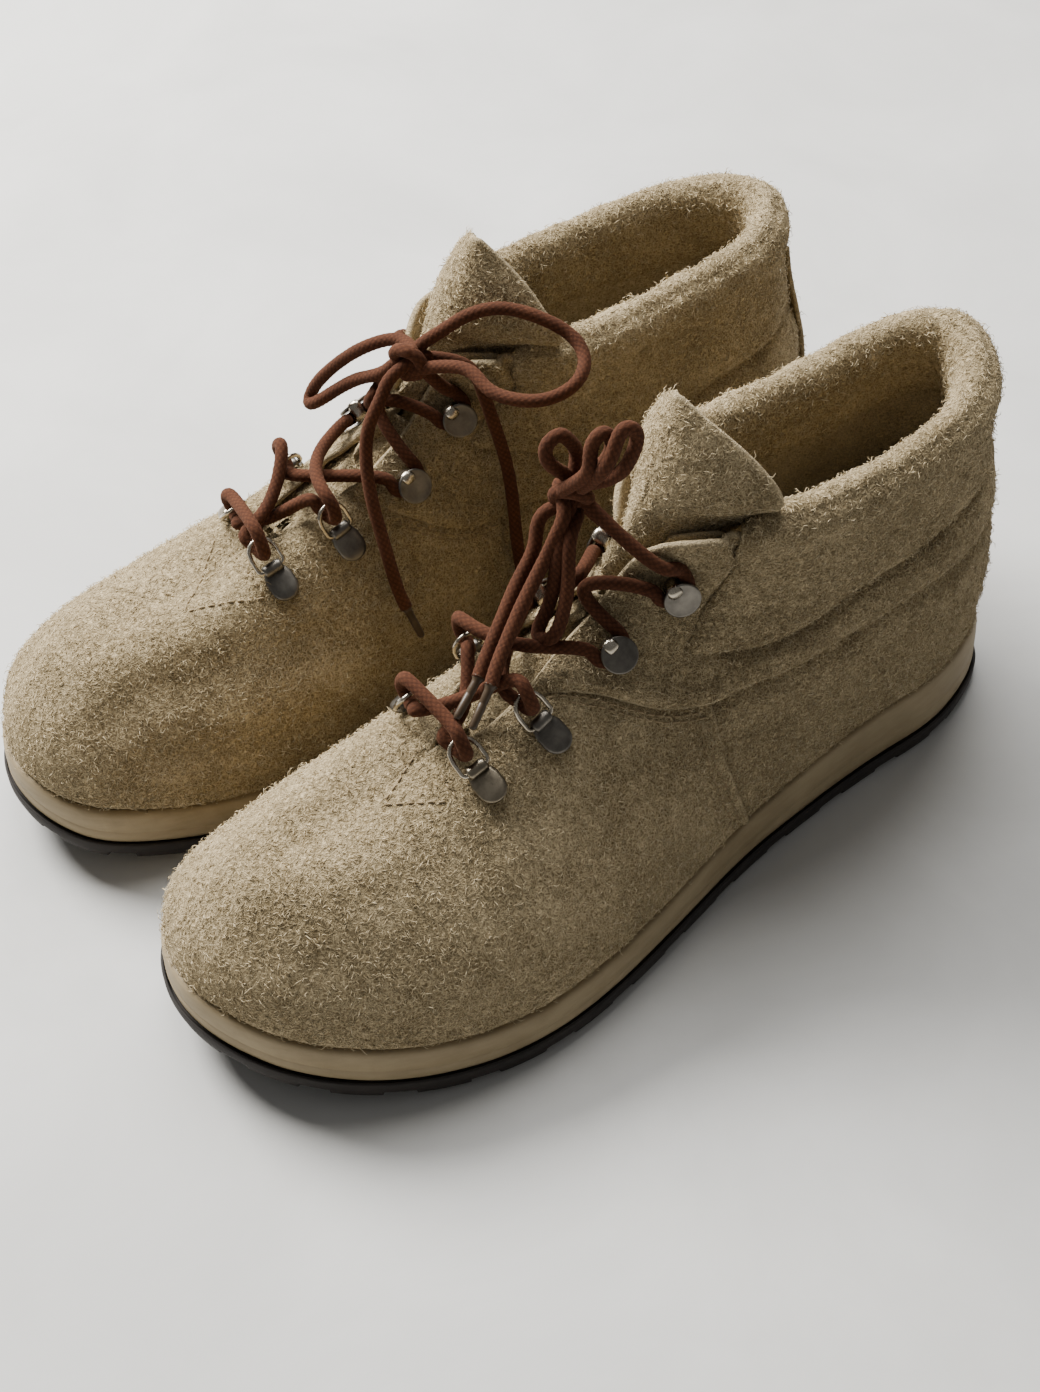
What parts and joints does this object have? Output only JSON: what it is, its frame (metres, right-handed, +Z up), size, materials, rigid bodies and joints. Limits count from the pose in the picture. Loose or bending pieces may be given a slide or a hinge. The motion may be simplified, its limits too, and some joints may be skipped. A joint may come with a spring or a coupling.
{
  "type": "deck boots",
  "caption": "Pair of low lace-up suede deck boots with padded collar, foam midsole, rubber outsole, swinging D-rings, lace hooks and cord lace.",
  "frame": {"origin": "on the floor under the middle of the pair", "axes": "+Z up, toes towards -Y, left boot at +X and right boot at -X"},
  "size_m": [0.231, 0.309, 0.1691],
  "materials": {
    "suede": "long-nap sandy suede",
    "collar_suede": "padded suede, soft nap",
    "lining_suede": "soft suede",
    "outsole_rubber": "matte black",
    "midsole_foam": "smooth satin tan foam",
    "shank_steel": "plain",
    "fibre_board": "matte",
    "footbed_cloth": "flat woven",
    "lace_cord": "round woven cord, rust brown",
    "lace_tip": "satin",
    "gunmetal": "dark plated, worn",
    "ring_wire": "worn nickel plate"
  },
  "bodies": {
    "left_boot": {"left_aglet_lateral": "lace_tip", "left_aglet_medial": "lace_tip", "left_ankle_panel_lateral": "suede", "left_ankle_panel_medial": "suede", "left_backstay": "suede", "left_collar": "collar_suede", "left_footbed": "footbed_cloth", "left_heel_counter": "fibre_board", "left_hook_h1_lateral": "gunmetal", "left_hook_h1_medial": "gunmetal", "left_hook_h2_lateral": "gunmetal", "left_hook_h2_medial": "gunmetal", "left_insole_board": "fibre_board", "left_lace": "lace_cord", "left_lining": "lining_suede", "left_midsole": "midsole_foam", "left_outsole": "outsole_rubber", "left_quarter": "suede", "left_ring_plate_d1_lateral": "gunmetal", "left_ring_plate_d1_medial": "gunmetal", "left_ring_plate_d2_lateral": "gunmetal", "left_ring_plate_d2_medial": "gunmetal", "left_shank": "shank_steel", "left_tongue": "suede", "left_vamp": "suede"},
    "right_boot": {"right_aglet_lateral": "lace_tip", "right_aglet_medial": "lace_tip", "right_ankle_panel_lateral": "suede", "right_ankle_panel_medial": "suede", "right_backstay": "suede", "right_collar": "collar_suede", "right_footbed": "footbed_cloth", "right_heel_counter": "fibre_board", "right_hook_h1_lateral": "gunmetal", "right_hook_h1_medial": "gunmetal", "right_hook_h2_lateral": "gunmetal", "right_hook_h2_medial": "gunmetal", "right_insole_board": "fibre_board", "right_lace": "lace_cord", "right_lining": "lining_suede", "right_midsole": "midsole_foam", "right_outsole": "outsole_rubber", "right_quarter": "suede", "right_ring_plate_d1_lateral": "gunmetal", "right_ring_plate_d1_medial": "gunmetal", "right_ring_plate_d2_lateral": "gunmetal", "right_ring_plate_d2_medial": "gunmetal", "right_shank": "shank_steel", "right_tongue": "suede", "right_vamp": "suede"},
    "left_ring_d1_lateral": {"left_d_ring_d1_lateral": "ring_wire"},
    "left_ring_d2_lateral": {"left_d_ring_d2_lateral": "ring_wire"},
    "left_ring_d1_medial": {"left_d_ring_d1_medial": "ring_wire"},
    "left_ring_d2_medial": {"left_d_ring_d2_medial": "ring_wire"},
    "right_ring_d1_lateral": {"right_d_ring_d1_lateral": "ring_wire"},
    "right_ring_d2_lateral": {"right_d_ring_d2_lateral": "ring_wire"},
    "right_ring_d1_medial": {"right_d_ring_d1_medial": "ring_wire"},
    "right_ring_d2_medial": {"right_d_ring_d2_medial": "ring_wire"}
  },
  "joints": [
    {"name": "right_boot_lift", "type": "slide", "parent": "left_boot", "child": "right_boot", "axis": [0, 0, 1], "range_m": [0, 0.18]},
    {"name": "left_ring_d1_lateral_swing", "type": "hinge", "parent": "left_boot", "child": "left_ring_d1_lateral", "pos_m": [0.06904, -0.05386, 0.07747], "axis": [-0.0239, 0.9518, 0.3056], "range_deg": [0, 8]},
    {"name": "left_ring_d2_lateral_swing", "type": "hinge", "parent": "left_boot", "child": "left_ring_d2_lateral", "pos_m": [0.06965, -0.03224, 0.08477], "axis": [-0.1154, 0.9323, 0.3427], "range_deg": [0, 8]},
    {"name": "left_ring_d1_medial_swing", "type": "hinge", "parent": "left_boot", "child": "left_ring_d1_medial", "pos_m": [0.03611, -0.05697, 0.07908], "axis": [0.0376, -0.965, -0.2596], "range_deg": [0, 8]},
    {"name": "left_ring_d2_medial_swing", "type": "hinge", "parent": "left_boot", "child": "left_ring_d2_medial", "pos_m": [0.03367, -0.03364, 0.08476], "axis": [-0.0573, -0.9544, -0.2928], "range_deg": [0, 8]},
    {"name": "right_ring_d1_lateral_swing", "type": "hinge", "parent": "right_boot", "child": "right_ring_d1_lateral", "pos_m": [-0.06904, -0.05926, 0.07747], "axis": [-0.0239, -0.9518, -0.3056], "range_deg": [0, 8]},
    {"name": "right_ring_d2_lateral_swing", "type": "hinge", "parent": "right_boot", "child": "right_ring_d2_lateral", "pos_m": [-0.06965, -0.03764, 0.08477], "axis": [-0.1154, -0.9323, -0.3427], "range_deg": [0, 8]},
    {"name": "right_ring_d1_medial_swing", "type": "hinge", "parent": "right_boot", "child": "right_ring_d1_medial", "pos_m": [-0.03611, -0.06237, 0.07908], "axis": [0.0376, 0.965, 0.2596], "range_deg": [0, 8]},
    {"name": "right_ring_d2_medial_swing", "type": "hinge", "parent": "right_boot", "child": "right_ring_d2_medial", "pos_m": [-0.03367, -0.03904, 0.08476], "axis": [-0.0573, 0.9544, 0.2928], "range_deg": [0, 8]}
  ]
}
